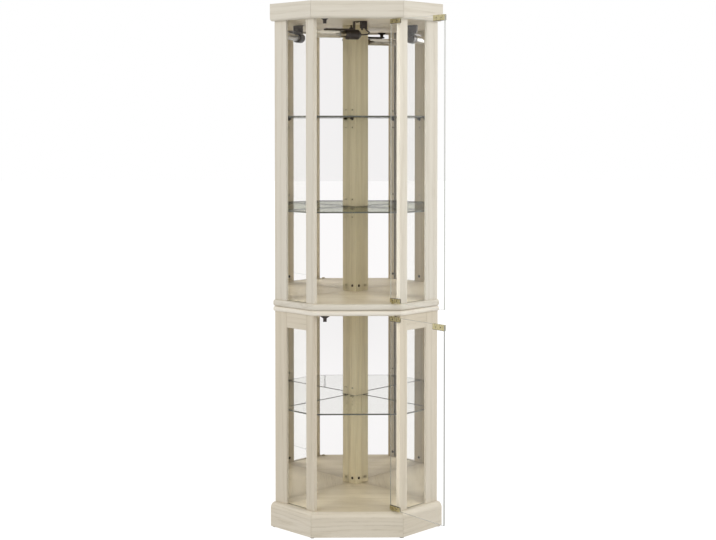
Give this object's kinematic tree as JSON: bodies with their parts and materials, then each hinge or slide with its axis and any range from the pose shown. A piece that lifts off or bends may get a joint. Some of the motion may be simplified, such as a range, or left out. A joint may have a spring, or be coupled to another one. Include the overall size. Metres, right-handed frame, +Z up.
{
  "type": "corner curio cabinet",
  "caption": "Tall five-sided corner display cabinet in two stacked sections with mirrored walls, glass shelves, glazed returns and frameless glass doors on brass pivots standing open.",
  "frame": {"origin": "underside of the rear glide, on the plane that halves the cabinet's plan, at floor level", "axes": "+Z up, -Y out of the front between the doors' posts, +X towards the doors' pivots, the right side seen from the front"},
  "size_m": [0.5926, 0.6086, 1.8],
  "materials": {
    "whitewashed_wood": "open-grained ash with a whitewash in the pores, satin lacquer",
    "clear_glass": "clear float glass with ground edges",
    "mirror_glass": "silvered mirror",
    "brass": "polished, slightly worn",
    "black_plastic": "moulded, satin",
    "glide_nylon": "moulded, matt",
    "bronzed_steel": "dark bronze paint",
    "lamp_glass": "clear tubular bulb with a metal cap"
  },
  "bodies": {
    "cabinet": {"glide_rear": "glide_nylon", "glide_front_left": "glide_nylon", "glide_side_left": "glide_nylon", "glide_front_right": "glide_nylon", "glide_side_right": "glide_nylon", "plinth_front": "whitewashed_wood", "plinth_left": "whitewashed_wood", "plinth_right": "whitewashed_wood", "floor_panel": "whitewashed_wood", "base_board_left": "whitewashed_wood", "base_board_right": "whitewashed_wood", "lower_deck": "whitewashed_wood", "upper_deck": "whitewashed_wood", "crown_front": "whitewashed_wood", "crown_left": "whitewashed_wood", "crown_right": "whitewashed_wood", "top_panel": "whitewashed_wood", "lower_front_post_left": "whitewashed_wood", "lower_side_post_left": "whitewashed_wood", "lower_front_post_right": "whitewashed_wood", "lower_side_post_right": "whitewashed_wood", "lower_rear_post": "whitewashed_wood", "upper_front_post_left": "whitewashed_wood", "upper_side_post_left": "whitewashed_wood", "upper_front_post_right": "whitewashed_wood", "upper_side_post_right": "whitewashed_wood", "upper_rear_post": "whitewashed_wood", "lower_top_rail_left": "whitewashed_wood", "lower_top_rail_right": "whitewashed_wood", "lower_side_pane_left": "clear_glass", "lower_side_pane_right": "clear_glass", "upper_side_pane_left": "clear_glass", "upper_side_pane_right": "clear_glass", "lower_mirror_left": "mirror_glass", "lower_mirror_right": "mirror_glass", "upper_mirror_left": "mirror_glass", "upper_mirror_right": "mirror_glass", "lower_shelf": "clear_glass", "middle_shelf": "clear_glass", "upper_shelf": "clear_glass", "lower_pivot_socket_bottom": "brass", "lower_pivot_socket_top": "brass", "lower_magnetic_catch": "black_plastic", "upper_pivot_socket_bottom": "brass", "upper_pivot_socket_top": "brass", "upper_magnetic_catch": "black_plastic", "lamp_socket": "black_plastic", "lamp_bulb": "lamp_glass", "lamp_bracket": "bronzed_steel", "lamp_switch": "black_plastic", "lamp_lead": "black_plastic"},
    "lower_door": {"lower_door_glass": "clear_glass", "lower_door_lower_hinge_clip": "brass", "lower_door_upper_hinge_clip": "brass", "lower_door_strike_clip": "brass"},
    "upper_door": {"upper_door_glass": "clear_glass", "upper_door_lower_hinge_clip": "brass", "upper_door_upper_hinge_clip": "brass", "upper_door_strike_clip": "brass"}
  },
  "joints": [
    {"name": "lower_door_pivot", "type": "hinge", "parent": "cabinet", "child": "lower_door", "pos_m": [0.12076, -0.39672, 0.4], "axis": [0, 0, 1], "range_deg": [-129, 5]},
    {"name": "upper_door_pivot", "type": "hinge", "parent": "cabinet", "child": "upper_door", "pos_m": [0.12076, -0.39672, 1.26], "axis": [0, 0, 1], "range_deg": [-129, 5]}
  ]
}
